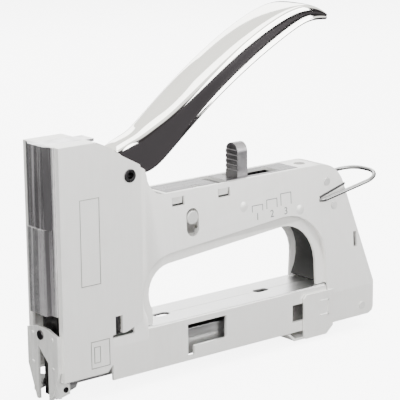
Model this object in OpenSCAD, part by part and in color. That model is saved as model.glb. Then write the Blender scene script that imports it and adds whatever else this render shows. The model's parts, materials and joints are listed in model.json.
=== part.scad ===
// Hand staple gun: pressed steel side shells, sprung striker in the nose,
// U-section hand lever, three-step force adjuster, drop-down magazine and lock wire.
// X runs from the nose to the rear, Y across, Z up. The footprint's middle is the origin.

/* [Body] */
// Length of the shells from nose to rear
body_l = 172.5; // [150:0.5:215]
// Width across both side shells at the nose
body_w = 25; // [23:0.5:32]
// Height of the nose above the surface it works on
nose_z = 106.8; // [95:0.2:125]
// Height of the rail that runs under the lever
rail_z = 79.4; // [72:0.2:90]
// Sheet thickness of the side shells
sheet = 1.2; // [0.8:0.1:1.6]
// Length of the nose panel
nose_l = 39.8; // [36:0.2:46]
// How far each side leans in between skirt and rail
side_lean = 3.85; // [2:0.05:4.5]
// Height of the skirt's lower edge
skirt_z = 6; // [5.5:0.1:7]
// Height of the nose's lower edge
nose_bottom_z = 10.2; // [9:0.1:12]

/* [Grip opening] */
// Radius of the opening's front end
open_front_r = 17; // [15:0.5:20]
// Radius of the opening's rear corner
open_rear_r = 23; // [20:0.5:26]
// Width of the lip inside the opening
lip_w = 4.8; // [3:0.1:6]
// Depth that the lip is set in
lip_depth = 2.2; // [1.5:0.1:3]
// Height of the magazine cover's top
cover_z = 24.8; // [22:0.1:28]

/* [Lever] */
// Width of the hand lever
lever_w = 20; // [17:0.5:21]
// Sheet thickness of the lever
lever_t = 1.8; // [1.2:0.1:2.5]
// Distance from nose front to lever pin
lever_pin_x = 34.4; // [33:0.2:36]
// Height of the lever pin
lever_pin_z = 91; // [88:0.2:93]
// Outer radius of the lever pin
lever_pin_r = 2.3; // [2:0.1:2.8]
// Radius of the hole through the lever pin
lever_bore_r = 1.45; // [1:0.05:1.7]
// Radial clearance of the turning joints
pin_gap = 0.05; // [0.02:0.01:0.1]

/* [Striker] */
// Distance from nose front to the middle of the main spring
striker_x = 9.6; // [9:0.1:10.5]
// Outside radius of the main spring
spring_r = 6.4; // [5.5:0.1:6.8]
// Wire radius of the main spring
spring_wire_r = 1.1; // [0.8:0.05:1.3]
// Turns of the main spring
spring_turns = 8; // [5:1:10]
// Thickness of the driver blade
blade_t = 1.3; // [1:0.05:1.6]

/* [Magazine] */
// Outside width of the staple crown
crown_w = 10.6; // [10:0.1:11.4]
// Leg length of the staples
leg_l = 6; // [4:0.5:8]
// Length of the staple strip
strip_l = 50; // [20:1:60]
// Outside width of the tray
tray_w = 16; // [15:0.2:18]
// Wall thickness of the tray
tray_t = 1; // [0.8:0.1:1.2]
// Height of the tray's underside
tray_z = 7.2; // [6.8:0.1:8]
// Length of the latch clip along the skirt
clip_l = 17.5; // [14:0.5:20]
// Height of the latch clip's underside
clip_z = 2; // [1:0.1:3]

/* [Adjuster and lock wire] */
// Distance between the adjuster's three steps
step_l = 8; // [6:0.5:9]
// Width of the adjuster's grip
adjuster_w = 8; // [6:0.5:9]
// Wire radius of the lock wire
wire_r = 0.9; // [0.7:0.05:1.1]
// Reach of the lock wire behind its pivot
wire_reach = 37; // [34:0.5:40]

/* [Hidden] */

fine = 48;
seam = 0.1;                              // gap between the two shells at the middle
half_w = body_w / 2;
skirt_hw = half_w - 0.3;
front_x = -2;                            // front face of the nose guide
wire_pivot = [body_l - 30.5, 63.5];
wire_tilt = 12;
wire_back = wire_pivot[0] + wire_reach * cos(wire_tilt) + wire_r;
cover_front = -3.6;
mid_x = (wire_back + cover_front) / 2;
lean_z = 20;                             // above this height the sides lean in
lean_a = atan(side_lean / (rail_z - lean_z));
rail_hw = skirt_hw - side_lean;
skirt_front = 24.4;
lever_x = lever_pin_x;
lever_z = lever_pin_z;

// half width of the leaning side at height z
function side_y(z) = z < lean_z ? skirt_hw : skirt_hw - (z - lean_z) * tan(lean_a);
function arc(c, r, a0, a1, n) =
  [for (i = [0:n]) c + r * [cos(a0 + (a1 - a0) * i / n), sin(a0 + (a1 - a0) * i / n)]];
// moves every edge of an anticlockwise outline inwards by d
function inset(p, d) =
  let (n = len(p))
  [for (i = [0:n - 1])
    let (
      a = p[(i + n - 1) % n],
      b = p[i],
      c = p[(i + 1) % n],
      u = (b - a) / norm(b - a),
      v = (c - b) / norm(c - b),
      nu = [-u[1], u[0]],
      nv = [-v[1], v[0]]
    )
    b + (nu + nv) * d / (1 + nu * nv)];

// nose panel, seen from the side
nose_outline = [
  [0, nose_bottom_z], [skirt_front - 3, nose_bottom_z], [skirt_front, nose_bottom_z + 3],
  [skirt_front, 25.6], [31.5, 25.6], [nose_l, 29], [nose_l, nose_z - 12], [30.8, nose_z - 7.1],
  [24, nose_z - 2.5], [18.5, nose_z], [0, nose_z]
];
corner_r = 14.3;
rear_corner = [body_l - 30, rail_z - corner_r];
ear_r = 9;
ear = [55.5, rail_z + ear_r];
rear_outline = concat(
  [[skirt_front, skirt_z], [body_l - 3, skirt_z], [body_l - 0.6, skirt_z + 1.2],
   [body_l, skirt_z + 3], [body_l, 21.5]],
  arc(rear_corner, corner_r, 17.5, 90, 8),
  arc(ear, ear_r, 270, 180, 6),
  [[ear[0] - ear_r - 0.9, nose_z - 15.6], [nose_l, nose_z - 12.1], [nose_l - 4, nose_z - 12.1],
   [nose_l - 4, 24], [skirt_front, 24]]
);
open_front = [nose_l + 1.1 + open_front_r, 37.3];
open_rear = [body_l - 28.5 - open_rear_r, 36.5];
open_floor = 22;

// grip opening made smaller all round by d
function opening(d) = concat(
  [[open_front[0] - (open_front_r - d) * cos(28), open_floor], [open_rear[0] + open_rear_r - d, open_floor]],
  arc(open_rear, open_rear_r - d, 0, 93, 8),
  arc(open_front, open_front_r - d, 97, 208, 10)
);

module at_nose() {
  translate([-mid_x, 0, 0])
    children();
}

// plate standing in the XZ plane, from y0 to y1
module upright(points, y0, y1) {
  translate([0, y1, 0])
    rotate([90, 0, 0])
      linear_extrude(y1 - y0)
        polygon(points);
}

module bar(x0, x1, y0, y1, z0, z1) {
  translate([x0, y0, z0])
    cube([x1 - x0, y1 - y0, z1 - z0]);
}

module cross_pin(x, z, r, y0, y1) {
  translate([x, y1, z])
    rotate([90, 0, 0])
      cylinder(r = r, h = y1 - y0, $fn = fine);
}

// turns its children with the left side's lean, about the line where the lean starts
module leaning() {
  translate([0, -skirt_hw, lean_z])
    rotate([-lean_a, 0, 0])
      translate([0, skirt_hw, -lean_z])
        children();
}

// half of the rear body, d inside its outer surface
module rear_half(d) {
  difference() {
    upright(inset(rear_outline, d), -skirt_hw + d, -seam / 2 + d);
    leaning()
      bar(-10, body_l + 40, -skirt_hw - 20, -skirt_hw + d, lean_z, nose_z + 20);
  }
}

module nose_half(d) {
  upright(inset(nose_outline, d), -half_w + d, -seam / 2 + d);
}

module shell_openings() {
  // bottom of the nose and the skirt
  bar(sheet, body_l - 20, -skirt_hw + sheet, 1, -1, skirt_z + 6);
  bar(sheet, skirt_front + 1, -half_w + sheet + 0.3, 1, -1, nose_bottom_z + 4);
  // front and top gap that the cover closes
  bar(-1, sheet + 0.1, -cover_hw - 0.2, 1, -1, nose_z - sheet);
  bar(-1, 0.5, -cover_hw - 0.2, 1, -1, nose_z + 1);
  bar(-1, 24, -strip_hw, 1, nose_z - sheet - 0.1, nose_z + 1);
  // gap that the lever swings in
  bar(20, nose_l - sheet - 0.1, -half_w + sheet, 1, nose_z - 20, nose_z + 1);
  leaning()
    bar(nose_l - sheet - 0.2, ear[0], -skirt_hw + sheet, 30, rail_z - sheet - 0.1, nose_z + 20);
  // slots in the rail's top: full-width gap, and the adjuster's slot with its side slit
  bar(84, 90, -rail_hw + sheet, 1, rail_z - 3, rail_z + 1);
  bar(adj_x - 2, adj_slot_end, -adjuster_w / 2 - 0.4, 1, rail_z - 3, rail_z + 1);
  bar(72, 76, -6.5, -3.5, rail_z - 3, rail_z + 1);
  // spring anchor hole in the rounded top corner
  translate([body_l - 35, 0, rail_z - 5])
    cylinder(r = 2.6, h = 10, $fn = fine);
  // windows for the bent tabs
  bar(58.8, 65.4, -half_w, -rail_hw + 3, 73.4, 77.2);
  bar(83.6, 90.2, -half_w, -rail_hw + 3, 73.4, 77.2);
  // upright slot of the adjuster pin
  cross_pin(pin_x, pin_z - pin_drop, pin_slot_r, -half_w, -6);
  cross_pin(pin_x, pin_z + 0.7, pin_slot_r, -half_w, -6);
  bar(pin_x - pin_slot_r, pin_x + pin_slot_r, -half_w, -6, pin_z - pin_drop, pin_z + 0.7);
  // slit near the rear edge and the slot behind the nose panel
  bar(body_l - 11.5, body_l - 9.5, -half_w, -6, 39, 46);
  bar(25.8, 29.4, -half_w - 1, -9, 25.6, 33.2);
  // window of the pusher and window of the latch
  bar(63.6, 84.8, -half_w, -skirt_hw + sheet + 0.1, 12, 22);
  bar(63.6, 67, -half_w, -skirt_hw + sheet + 0.1, 8, 13);
  bar(body_l - 49.7, body_l - 30, -half_w, -skirt_hw + sheet + 0.1, 10.8, 18.7);
}

// left shell: a tray with turned-in edges and a lip set into the grip opening
module shell_body() {
  difference() {
    union() {
      difference() {
        union() {
          nose_half(0);
          rear_half(0);
        }
        nose_half(sheet);
        rear_half(sheet);
        bar(nose_l - 3.9, nose_l + 3, -side_y(90) + sheet, 1, 31, nose_z - 13.3);
      }
      leaning()
        upright(opening(-sheet), -skirt_hw, -skirt_hw + lip_depth + sheet);
    }
    leaning() {
      upright(opening(0), -skirt_hw - 5, -skirt_hw + lip_depth);
      upright(opening(lip_w), -skirt_hw - 5, -skirt_hw + lip_depth + 9);
    }
    bar(skirt_front - 4, body_l - 20, -skirt_hw + sheet, 1, -1, cover_z + 0.3);
    shell_openings();
    cross_pin(lever_x, lever_z, lever_pin_r, -half_w - 1, 1);
    cross_pin(wire_pivot[0], wire_pivot[1], wire_r + pin_gap, -half_w, 1);
    for (p = rivet_places)
      cross_pin(p[0], p[1], rivet_r, -half_w, 1);
  }
  // skirt that closes the opening's underside
  difference() {
    bar(open_front[0] - open_front_r + 2, open_rear[0] + open_rear_r - 1,
      -skirt_hw, -skirt_hw + sheet, lean_z - 1, cover_z - 0.4);
    bar(63.6, 84.8, -half_w, -skirt_hw + sheet + 0.1, 12, 22);
  }
}

rivet_r = 1.3;
rivet_places = [[body_l - 26.5, 71.3], [body_l - 7.2, 10.8], [body_l - 22.7, 60]];

module left_shell() {
  color("gainsboro")
    at_nose()
      shell_body();
}

module right_shell() {
  color("gainsboro")
    at_nose()
      mirror([0, 1, 0])
        shell_body();
}

// pressed cover: flat flanges, a raised channel, and a strip over the nose's top
cover_hw = 9.4;
strip_hw = 4.3;
step_z = 73;
module front_cover() {
  flat = [[0.4, -cover_hw], [0.4, cover_hw], [-0.8, cover_hw], [-0.8, -cover_hw]];
  upper = [[0, -8], [0, 8], [-0.8, 8], [-2.7, 5.4], [-2.7, -5.4], [-0.8, -8]];
  lower = [[0, -6.2], [0, 6.2], [-0.8, 6.2], [cover_front, 5.8], [cover_front, -5.8], [-0.8, -6.2]];
  color("silver")
    at_nose()
      difference() {
        union() {
          translate([0, 0, 37.4])
            linear_extrude(nose_z - 37.4)
              polygon(flat);
          translate([0, 0, step_z])
            linear_extrude(nose_z - step_z)
              polygon(upper);
          translate([0, 0, 37.4])
            linear_extrude(step_z - 37.4)
              polygon(lower);
          bar(-0.8, 23, -strip_hw, strip_hw, nose_z - sheet, nose_z);
        }
        translate([0, 0, step_z - 2])
          linear_extrude(nose_z - step_z + 0.8)
            polygon([[1, -7], [1, 7], [0, 7], [-1.7, 4.8], [-1.7, -4.8], [0, -7]]);
        translate([0, 0, 37])
          linear_extrude(step_z - 38)
            polygon([[1, -5.2], [1, 5.2], [-2.6, 4.9], [-2.6, -4.9]]);
      }
}

// forked nose piece that guides the staple; its lugs hold the magazine pin
guide_hw = 11;
guide_top = 31.4;
pin_place = [3.4, 5.6];
pin_r = 1.2;
lug_in = 6.9;
lug_t = 1.2;
module nose_guide() {
  color("silver")
    at_nose()
      difference() {
        union() {
          translate([front_x + 1.2, 0, 0])
            rotate([90, 0, -90])
              linear_extrude(1.2)
                polygon([[-guide_hw, 14], [-5.2, 0], [5.2, 0], [guide_hw, 14],
                  [guide_hw, guide_top - 2], [4, guide_top], [-4, guide_top], [-guide_hw, guide_top - 2]]);
          for (side = [0, 1])
            mirror([0, side, 0]) {
              bar(front_x, 0, -guide_hw, -guide_hw + 1.2, 14, guide_top - 2);
              upright([[front_x + 0.6, 2.5], [1, 2.5], [pin_place[0] + 2.1, 3.5], [pin_place[0] + 2.1, 7.8],
                [1, 9], [1, 17], [front_x + 0.6, 17]], -lug_in - lug_t, -lug_in);
            }
        }
        // window between the legs, and the round seat of the button
        translate([front_x - 1, 0, 0])
          rotate([90, 0, 90])
            linear_extrude(2.4)
              polygon([[-3.7, -1], [3.6, -1], [3.6, 23.4], [-3.7, 17]]);
        translate([front_x - 1, button_y, button_z])
          rotate([0, 90, 0])
            cylinder(r = button_r, h = 3, $fn = fine);
        cross_pin(pin_place[0], pin_place[1], pin_r, -9, 9);
      }
}

button_y = 1;
button_z = 28;
button_r = 2;
module nose_button() {
  color("darkgray")
    at_nose()
      translate([front_x - 0.7, button_y, button_z])
        rotate([0, 90, 0])
          cylinder(r = button_r, h = 2, $fn = fine);
}

// sheet bridge behind the striker, held between the shells
guide_x = 18.2;
module striker_guide() {
  color("darkgray")
    at_nose() {
      bar(guide_x, guide_x + 1.2, -half_w + sheet, half_w - sheet, 36, 62);
      for (y = [-half_w + sheet, half_w - sheet - 1])
        bar(2, guide_x + 0.1, y, y + 1, 36, 62);
    }
}

// striker: block below the spring, two straps beside it, and the lever's lifting studs
block_x = 3.4;
block_z = 44;
block_h = 12;
block_hw = 6.8;
strap_t = 1.2;
stud_r = 1.8;
arm_x = 7;
arm_z = lever_z - 8;                     // top of the lever's arm below the studs
arm_rise = (lever_z + 2.5 - arm_z) / (lever_x - arm_x);
stud_z = arm_z + stud_r * norm([1, arm_rise]) + 0.3;
module striker() {
  color("dimgray")
    at_nose()
      difference() {
        union() {
          bar(block_x, guide_x - 0.6, -block_hw, block_hw, block_z, block_z + block_h);
          for (side = [0, 1])
            mirror([0, side, 0]) {
              bar(arm_x - 3, arm_x + 3, -block_hw - strap_t, -block_hw, block_z, stud_z + 2);
              cross_pin(arm_x, stud_z, stud_r, -arm_in - arm_t - 0.1, -block_hw - strap_t + 0.1);
            }
        }
        translate([striker_x, 0, block_z - 1])
          cylinder(r = rod_r + 0.6, h = block_h + 2, $fn = fine);
      }
}

module driver_blade() {
  color("dimgray")
    at_nose()
      bar(block_x - blade_t, block_x, -crown_w / 2 + 0.2, crown_w / 2 - 0.2, 1, block_z + 8);
}

// coil spring as a swept tube: rings follow the helix
module coil(r, wire, turns, height) {
  sides = 8;
  steps = 14;
  total = turns * steps;
  ring = function (i)
    let (t = 360 * i / steps, z = wire + (height - 2 * wire) * i / total)
    [for (k = [0:sides - 1])
      let (a = 360 * k / sides, q = r - wire + wire * cos(a))
      [q * cos(t), q * sin(t), z + wire * sin(a)]];
  points = [for (i = [0:total]) for (p = ring(i)) p];
  skin(points, total, sides);
}

seat_z = nose_z - 5;
rod_r = 1.8;
module main_spring() {
  color("gray")
    at_nose()
      translate([striker_x, 0, block_z + block_h + 0.1])
        coil(spring_r, spring_wire_r, spring_turns, seat_z - block_z - block_h - 0.2);
}

module spring_seat() {
  color("darkgray")
    at_nose()
      difference() {
        bar(1.4, 18, -half_w + sheet, half_w - sheet, seat_z, seat_z + 1.4);
        translate([striker_x, 0, seat_z - 1])
          cylinder(r = rod_r, h = 4, $fn = fine);
      }
}

module spring_rod() {
  color("gray")
    at_nose()
      translate([striker_x, 0, block_z - 6])
        cylinder(r = rod_r, h = seat_z + 1.4 - block_z + 6, $fn = fine);
}

module striker_buffer() {
  color("black")
    at_nose()
      difference() {
        bar(block_x + 0.6, guide_x, -half_w + sheet + 1, half_w - sheet - 1, block_z - 5, block_z - 0.2);
        translate([striker_x, 0, block_z - 8])
          cylinder(r = rod_r, h = 10, $fn = fine);
      }
}

// hand lever: bowed U-section handle, narrow web, hub on the pin, and two lifting arms
lever_top = [
  [146.5, 148.1], [141.9, 150.3], [136.5, 151.6], [131.2, 151.5], [125.8, 150.1], [118.8, 147.7],
  [110, 143.7], [101.5, 139.3], [93, 134.1], [84.5, 128.6], [76.8, 123.2], [70.2, 118.5],
  [61.1, 112], [55, 108.3], [49, 105.2], [42, 103.5], [36, 101.5], [32.5, 99]
];
lever_under = [
  [35, 97.6], [42, 100.6], [49, 101.6], [57, 102.4], [65.6, 105.5], [73.7, 111], [79.9, 115.6],
  [86.2, 120], [94.6, 125.3], [103.1, 130], [111.7, 134.3], [120.3, 138.8], [131.2, 143.3],
  [140, 143.6], [148.8, 144.8]
];
// moves a lever point with the pin
lever_drawn = [34.4, 91];                // where the pin was when these points were drawn
function on_lever(p) = p - lever_drawn + [lever_x, lever_z];
web_points = [
  [42, 103.4], [33.8, 98.6], [33, 95.5], [31.2, 92], [32, 88.5], [36, 87], [42, 86.5],
  [46, 87.5], [48.6, 91], [53.1, 95.7], [57.5, 99.9], [65.6, 105.6], [62, 111.6], [55, 107.2], [49, 104.2]
];
web_hw = 5.8;
web_t = 1.8;
arm_t = 1.8;
arm_in = block_hw + strap_t + 0.4;
hub_r = 3.9;
lever_in = lever_w / 2 - lever_t;
function lever_outline() = [for (p = concat(lever_top, lever_under)) on_lever(p)];
module lever_sheet() {
  top = [for (p = lever_top) on_lever(p)];
  under = [for (p = lever_under) on_lever(p)];
  hollow = concat([for (p = top) p + [lever_t * 0.5, -lever_t * 1.05]], [for (p = under) p + [1, -9]]);
  difference() {
    upright(lever_outline(), -lever_in, lever_in);
    upright(hollow, -lever_in - 1, lever_in + 1);
  }
}

module lever() {
  color("whitesmoke")
    at_nose()
      lever_sheet();
}

// web plates under the sheet, hub on the pin, and the two lifting arms
module lever_web() {
  web = [for (p = web_points) on_lever(p)];
  color("whitesmoke")
    at_nose()
      difference() {
        union() {
          for (y = [-web_hw, web_hw - web_t])
            upright(web, y, y + web_t);
          cross_pin(lever_x, lever_z, hub_r, -arm_in - arm_t, arm_in + arm_t);
          for (y = [-arm_in - arm_t, arm_in])
            upright([[lever_x, lever_z - hub_r], [lever_x, lever_z + 2.5],
              [arm_x - 2, arm_z - 2 * arm_rise], [arm_x - 2, arm_z - 2 * arm_rise - 2.4],
              [arm_x + 3, arm_z - 3.4]], y, y + arm_t);
        }
        lever_sheet();
        cross_pin(lever_x, lever_z, lever_pin_r + pin_gap, -half_w, half_w);
        bar(lever_x - 5, lever_x + 5, -web_hw + web_t, web_hw - web_t, lever_z - 5, lever_z + 5);
      }
}

// folded sides of the lever's handle
module lever_sides() {
  color("whitesmoke")
    at_nose()
      for (y = [-lever_w / 2, lever_in])
        upright(lever_outline(), y, y + lever_t);
}

// tubular pin, open from end to end, with a rolled head on each side
module lever_pin() {
  color("dimgray")
    at_nose()
      difference() {
        union() {
          cross_pin(lever_x, lever_z, lever_pin_r, -half_w - 0.5, half_w + 0.5);
          for (y = [-half_w - 0.6, half_w])
            cross_pin(lever_x, lever_z, lever_pin_r + 0.5, y, y + 0.6);
        }
        cross_pin(lever_x, lever_z, lever_bore_r, -half_w - 2, half_w + 2);
      }
}

washer_in = arm_in + arm_t + 0.1;
module lever_washers() {
  color("gray")
    at_nose()
      for (y = [-half_w + sheet, washer_in])
        difference() {
          cross_pin(lever_x, lever_z, hub_r, y, y + half_w - sheet - washer_in);
          cross_pin(lever_x, lever_z, lever_pin_r, y - 1, y + 9);
        }
}

// torsion spring wound round the pin between the web's plates
module lever_spring() {
  color("gray")
    at_nose()
      translate([lever_x, 3.4, lever_z])
        rotate([90, 0, 0])
          coil(lever_pin_r + 1.5, 0.6, 4, 6.8);
}

// inner half of the magazine housing: cover plate with a wall beside the tray
inner_x0 = nose_l + 2;
inner_x1 = body_l - 29;
inner_hw = skirt_hw - sheet;
module inner_half() {
  difference() {
    union() {
      bar(inner_x0, inner_x1, -inner_hw, -seam / 2, cover_z - sheet, cover_z);
      bar(inner_x0, inner_x1, -inner_hw, -inner_hw + 1, 9, cover_z);
    }
    for (x = [inner_x0 + 17, inner_x1 - 29])
      slot_hole(x, cover_z - 4, 2.1, 3.6);
    bar(63.4, 85, -inner_hw - 1, -inner_hw + 2, 7, 22.2);
    bar(body_l - 50, body_l - 29.5, -inner_hw - 1, -inner_hw + 2, 7, 18.9);
  }
}

module slot_hole(x, z, r, l) {
  for (dx = [-l / 2, l / 2])
    translate([x + dx, 0, z])
      cylinder(r = r, h = 9, $fn = fine);
  bar(x - l / 2, x + l / 2, -r, r, z, z + 9);
}

module left_inner() {
  color("lightgray")
    at_nose()
      inner_half();
}

module right_inner() {
  color("lightgray")
    at_nose()
      mirror([0, 1, 0])
        inner_half();
}

// black plastic insert between the lips at the rear of the grip opening
insert_gap = 3;
insert_t = 2.4;
module grip_insert() {
  inner = open_rear_r - lip_w + insert_gap;
  ring = concat(arc(open_rear, inner, -28, 80, 8), arc(open_rear, inner + insert_t, 80, -28, 8));
  color("black")
    at_nose()
      for (side = [0, 1])
        mirror([0, side, 0])
          difference() {
            upright(ring, -half_w, 0);
            bar(0, body_l, -half_w - 1, 1, 0, cover_z + 0.1);
            leaning()
              bar(0, body_l, -half_w - 20, -skirt_hw + lip_depth + sheet, 0, nose_z);
          }
}

// force adjuster: ridged grip above the rail, bar below it, and the pin it moves
adj_x = 98.2;
adj_t = 5.6;
adj_slot_end = adj_x + adj_t + 2 * step_l + 1;
bar_z = rail_z - 6.2;
bar_top = bar_z + 1.1;
pin_drop = 4.8;                          // the washers reach the slot's lower end
pin_washer_r = 2.9;
pin_slot_r = pin_washer_r + 0.4;
pin_x = 69.2;
pin_z = 67.3;
frame_hw = adjuster_w / 2 + 2.2;
frame_z = rail_z - 9;
cam_slot_end = pin_x + 2.6;
cam_end = cam_slot_end + 4;
detent_x0 = cam_end + 2 * step_l + 0.8;
detent_x1 = adj_slot_end - 2.8;
module adjuster_lever() {
  top = nose_z - 12.6;
  color("slategray")
    at_nose()
      difference() {
        union() {
          bar(adj_x, adj_x + adj_t, -adjuster_w / 2, adjuster_w / 2, bar_top, top - 4);
          translate([adj_x, 0, top - 4])
            rotate([0, 90, 0])
              cylinder(r = adjuster_w / 2, h = adj_t, $fn = fine);
        }
        for (i = [0:4])
          translate([adj_x, 0, top - 3 - 2.2 * i])
            rotate([90, 0, 0])
              cylinder(r = 0.35, h = adjuster_w + 1, center = true, $fn = 16);
      }
}

module adjuster_bar() {
  slope = pin_drop / (2 * step_l);
  x0 = pin_x - 2 * step_l - 2.6;
  x1 = cam_slot_end;
  z0 = pin_z - slope * (pin_x - x0);
  z1 = pin_z + slope * (x1 - pin_x);
  half = 2.3;
  cam_low = z0 - half - 1;
  color("darkgray")
    at_nose()
      difference() {
        union() {
          bar(74, adj_x + adj_t + 3, -adjuster_w / 2, adjuster_w / 2, bar_z - 1.4, bar_top);
          upright([[x0 - 1.6, cam_low], [cam_end, cam_low], [cam_end, bar_top], [x0 - 1.6, bar_top]],
            -2, 2);
        }
        // slanting slot that drives the pin down as the bar goes back
        upright([[x1, z1 - half], [x1, z1 + half], [x0, z0 + half], [x0, z0 - half]], -3, 3);
      }
}

module adjuster_pin() {
  y = side_y(pin_z);
  color("whitesmoke")
    at_nose() {
      cross_pin(pin_x, pin_z, 1.8, -y, y);
      for (s = [-y - 0.3, y - 0.9])
        cross_pin(pin_x, pin_z, pin_washer_r, s, s + 1.2);
    }
}

module detent_spring() {
  color("gray")
    at_nose() {
      bar(detent_x0, detent_x1, -frame_hw, frame_hw, frame_z - 0.6, frame_z);
      bar(detent_x1 - 4, detent_x1, -3, 3, frame_z - 0.1, bar_z - 1.5);
    }
}

// channel under the rail that the adjuster slides in
module rail_frame() {
  color("dimgray")
    at_nose()
      difference() {
        bar(57, 127, -frame_hw, frame_hw, frame_z, rail_z - sheet);
        bar(56, 128, -frame_hw + 1, frame_hw - 1, frame_z - 1, rail_z - sheet - 1.2);
        bar(adj_x - 2, adj_slot_end, -adjuster_w / 2 - 0.4, adjuster_w / 2 + 0.4, frame_z, rail_z);
      }
}

// block that the rear rivets draw the shells onto
module rear_block() {
  color("dimgray")
    at_nose()
      difference() {
        union() {
          for (p = [rivet_places[0], rivet_places[2]])
            cross_pin(p[0], p[1], 3, -side_y(p[1]) + sheet + 0.5, side_y(p[1]) - sheet - 0.5);
          upright([rivet_places[0] + [-2.4, -1], rivet_places[2] + [-2.4, 1], rivet_places[2] + [2.4, 1],
            rivet_places[0] + [2.4, -1]], -5.5, 5.5);
        }
        for (p = rivet_places)
          cross_pin(p[0], p[1], rivet_r, -half_w, half_w);
      }
}

module rivets() {
  color("silver")
    at_nose()
      for (p = rivet_places) {
        y = side_y(p[1]);
        cross_pin(p[0], p[1], rivet_r, -y - 0.4, y + 0.4);
        for (s = [-y - 0.5, y + 0.1])
          cross_pin(p[0], p[1], rivet_r + 0.5, s, s + 0.4);
      }
}

// lock wire: a bail whose bent ends turn in the shells
wire_y = side_y(wire_pivot[1]) + 0.6 + wire_r;
wire_flare = 4;
module lock_wire() {
  small = 2;
  bend = 11;
  leg_y = wire_y + (wire_reach - bend - small) * tan(wire_flare);
  half = concat(
    [[0, -wire_y + small + 5], [0, -wire_y + small]],
    arc([small, -wire_y + small], small, 180, 270 - wire_flare, 4),
    arc([wire_reach - bend, -leg_y + bend], bend, 270 - wire_flare, 360, 8)
  );
  far = [for (i = [len(half) - 1:-1:0]) [half[i][0], -half[i][1]]];
  color("gray")
    at_nose()
      translate([wire_pivot[0], 0, wire_pivot[1]])
        rotate([0, -wire_tilt, 0])
          tube(concat(half, far), wire_r);
}

// round wire swept along points that lie in one plane
module tube(p, r) {
  sides = 12;
  last = len(p) - 1;
  points = [
    for (i = [0:last])
      let (
        d = p[min(i + 1, last)] - p[max(i - 1, 0)],
        n = [-d[1], d[0]] / norm(d)
      )
      for (k = [0:sides - 1])
        [p[i][0] + r * n[0] * cos(360 * k / sides), p[i][1] + r * n[1] * cos(360 * k / sides),
         r * sin(360 * k / sides)]
  ];
  skin(points, last, sides);
}

// closed surface over rings of points
module skin(points, last, sides) {
  walls = [for (i = [0:last - 1]) for (k = [0:sides - 1])
    [(i + 1) * sides + k, (i + 1) * sides + (k + 1) % sides, i * sides + (k + 1) % sides, i * sides + k]];
  first = [for (k = [0:sides - 1]) k];
  end = [for (k = [0:sides - 1]) last * sides + sides - 1 - k];
  polyhedron(points, concat(walls, [first], [end]));
}

module magazine_pin() {
  color("gray")
    at_nose()
      for (y = [-lug_in - lug_t - 0.2, lug_in - 1.4])
        cross_pin(pin_place[0], pin_place[1], pin_r, y, y + lug_t + 1.6);
}

// drop-down magazine: tray, core, staples, pusher on its rod, and the latch clip
tray_hw = tray_w / 2;
tray_x0 = 7;
tray_x1 = body_l - 28;
tray_floor = tray_z + tray_t;
tray_top = tray_z + 11.3;
module staple_tray() {
  ear_hw = lug_in - 0.1;
  color("gray")
    at_nose()
      difference() {
        union() {
          bar(tray_x0, tray_x1, -tray_hw, tray_hw, tray_z, tray_floor);
          for (y = [-tray_hw, tray_hw - tray_t])
            bar(tray_x0 + 2, tray_x1, y, y + tray_t, tray_z, tray_top);
          bar(tray_x1 - 1.2, tray_x1, -tray_hw, tray_hw, tray_z, tray_top);
          for (y = [-ear_hw, ear_hw - 1.2])
            upright([pin_place + [0, -2.4], pin_place + [6, -0.6], [tray_x0 + 4, tray_floor],
              [tray_x0, tray_floor], pin_place + [0, 2.4], pin_place + [-1.6, 1.6],
              pin_place + [-2.2, 0], pin_place + [-1.6, -1.6]], y, y + 1.2);
        }
        cross_pin(pin_place[0], pin_place[1], pin_r + pin_gap, -8, 8);
      }
}

core_hw = crown_w / 2 - 1.1;
core_x1 = tray_x1 - 8;
core_z = tray_floor + leg_l - 1.1;
rod_z = tray_floor + 3.2;
pusher_rod_r = 0.8;
strip_x0 = block_x + 0.4;
module staple_core() {
  color("dimgray")
    at_nose()
      difference() {
        bar(strip_x0, core_x1, -core_hw, core_hw, tray_floor, core_z);
        bar(tray_x0 + 3, core_x1 - 2, -core_hw + 0.8, core_hw - 0.8, tray_floor + 0.8, core_z + 1);
        magazine_rod();
      }
}

module magazine_rod() {
  translate([tray_x0 + 1, 0, rod_z])
    rotate([0, 90, 0])
      cylinder(r = pusher_rod_r, h = core_x1 - 0.5 - tray_x0 - 1, $fn = fine);
}

// staples or a pusher seen as an inverted U that rides on the core
module crown_shape(x0, x1, gap) {
  difference() {
    bar(x0, x1, -crown_w / 2, crown_w / 2, tray_floor + gap, tray_floor + leg_l);
    bar(x0 - 1, x1 + 1, -crown_w / 2 + 0.9, crown_w / 2 - 0.9, tray_floor - 1, tray_floor + leg_l - 0.8);
  }
}

module staple_strip() {
  color("silver")
    at_nose()
      crown_shape(strip_x0, strip_x0 + strip_l, 0);
}

pusher_x = strip_x0 + strip_l + 0.2;
pusher_l = 10;
module pusher() {
  color("darkgray")
    at_nose()
      difference() {
        union() {
          crown_shape(pusher_x, pusher_x + pusher_l, 0.1);
          bar(pusher_x, pusher_x + pusher_l, -core_hw + 1, core_hw - 1, tray_floor + 1, core_z + 0.8);
          bar(pusher_x + 3, pusher_x + 8, -3, 3, core_z + 0.5, core_z + 4);
        }
        translate([pusher_x - 1, 0, rod_z])
          rotate([0, 90, 0])
            cylinder(r = pusher_rod_r + pin_gap, h = pusher_l + 2, $fn = fine);
      }
}

module pusher_spring() {
  x0 = pusher_x + pusher_l + 0.1;
  color("gray")
    at_nose()
      translate([x0, 0, rod_z])
        rotate([0, 90, 0])
          difference() {
            cylinder(r = pusher_rod_r + 1.5, h = core_x1 - 2.1 - x0, $fn = fine);
            translate([0, 0, -1])
              cylinder(r = pusher_rod_r + 0.2, h = body_l, $fn = fine);
          }
}

module pusher_rod() {
  color("silver")
    at_nose()
      magazine_rod();
}

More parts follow.
